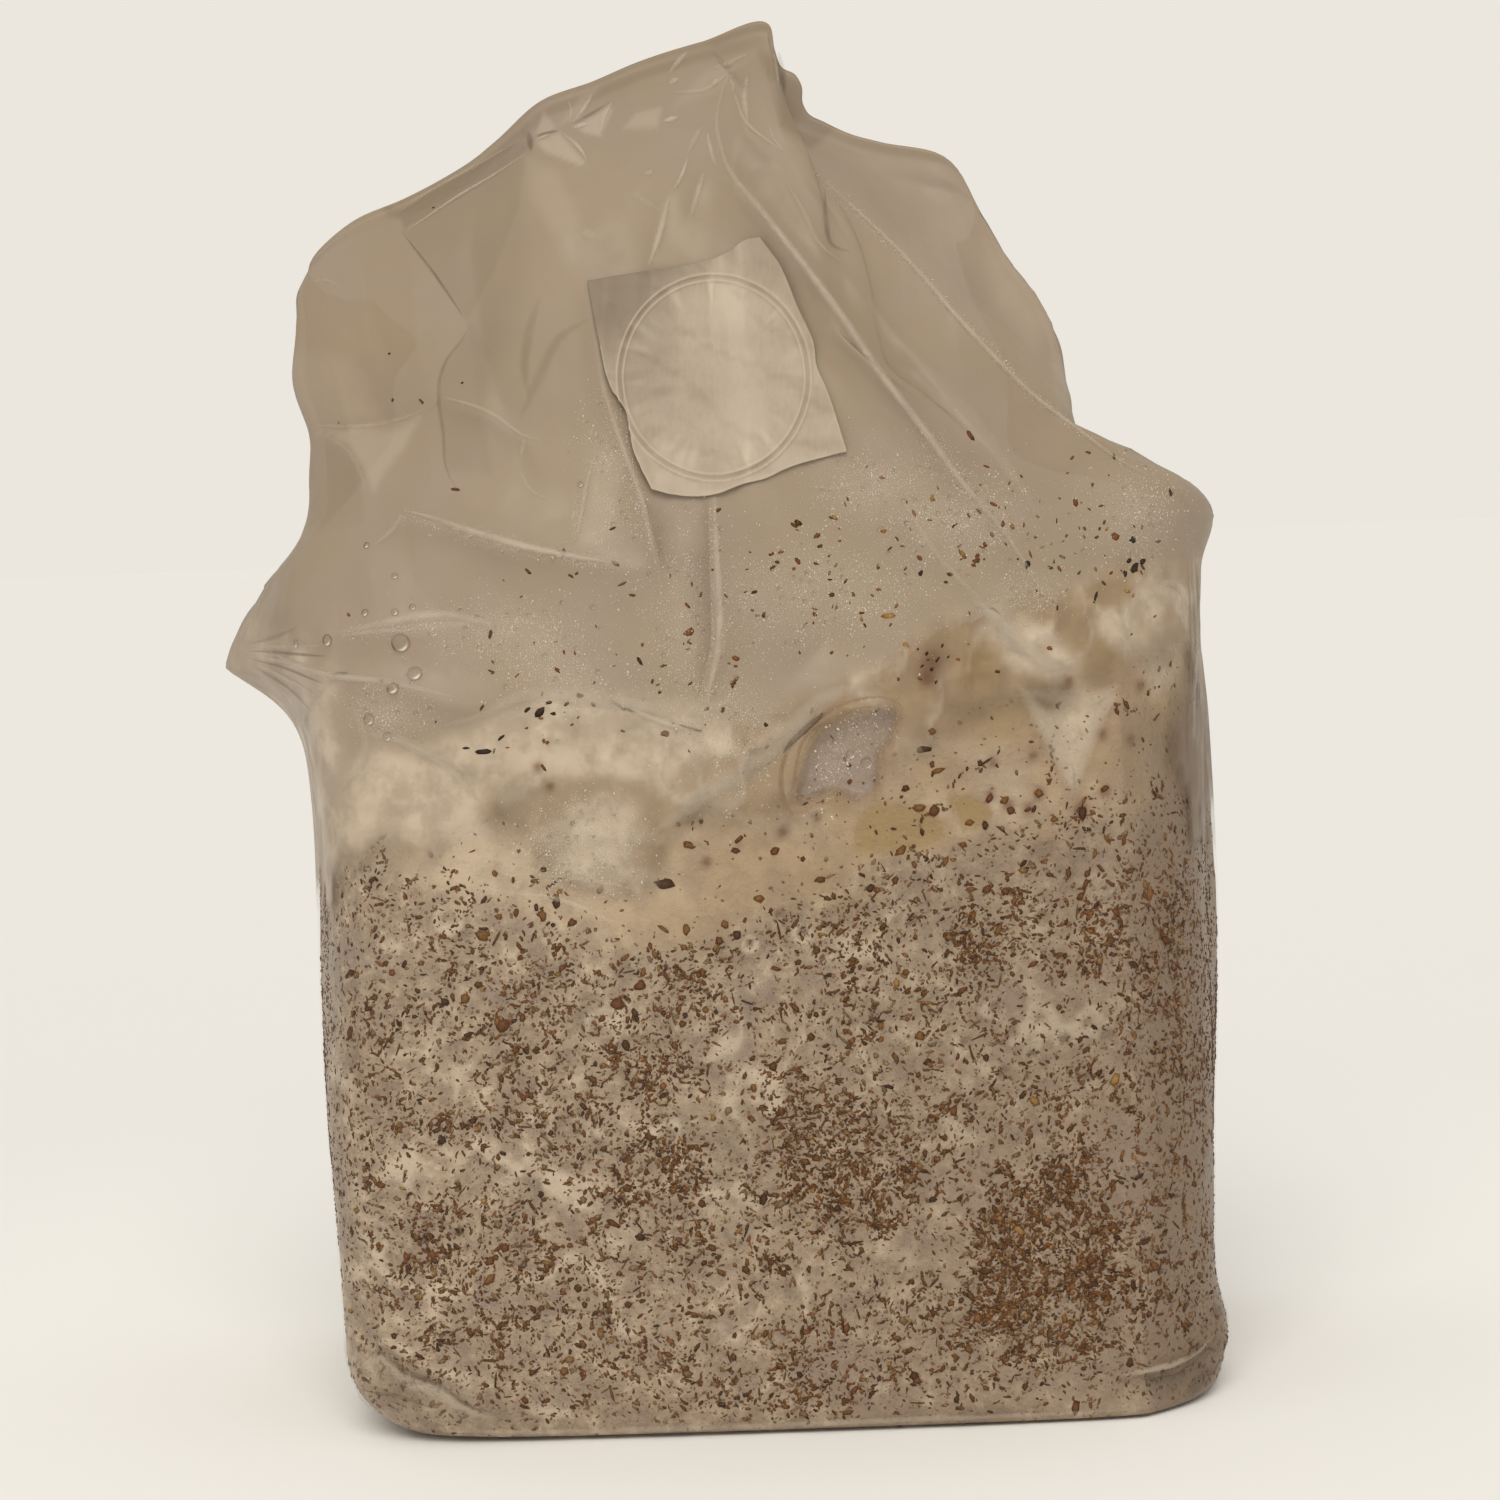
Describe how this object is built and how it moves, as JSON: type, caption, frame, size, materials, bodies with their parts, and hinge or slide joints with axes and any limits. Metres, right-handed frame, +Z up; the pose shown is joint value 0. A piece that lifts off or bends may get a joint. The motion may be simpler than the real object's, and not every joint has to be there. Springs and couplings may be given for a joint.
{
  "type": "oyster mushroom grow bag",
  "caption": "Sealed gusseted film bag with a filter patch, holding a sawdust block bound by white mushroom mycelium under a creased head of air.",
  "frame": {"origin": "middle of the base, at the height of the surface it stands on", "axes": "+Z up to the welded top edge, +X to the right of the filter side, +Y away from the filter side"},
  "size_m": [0.235, 0.1307, 0.3242],
  "materials": {
    "film": "clear, slightly hazy polypropylene film with fine condensation",
    "mycelium": "matt white felted mycelium over brown sawdust",
    "filter_sheet": "matt white fibrous filter sheet"
  },
  "bodies": {
    "root": {"film_bag": "film", "mycelium_block": "mycelium", "filter_patch": "filter_sheet"}
  },
  "joints": []
}
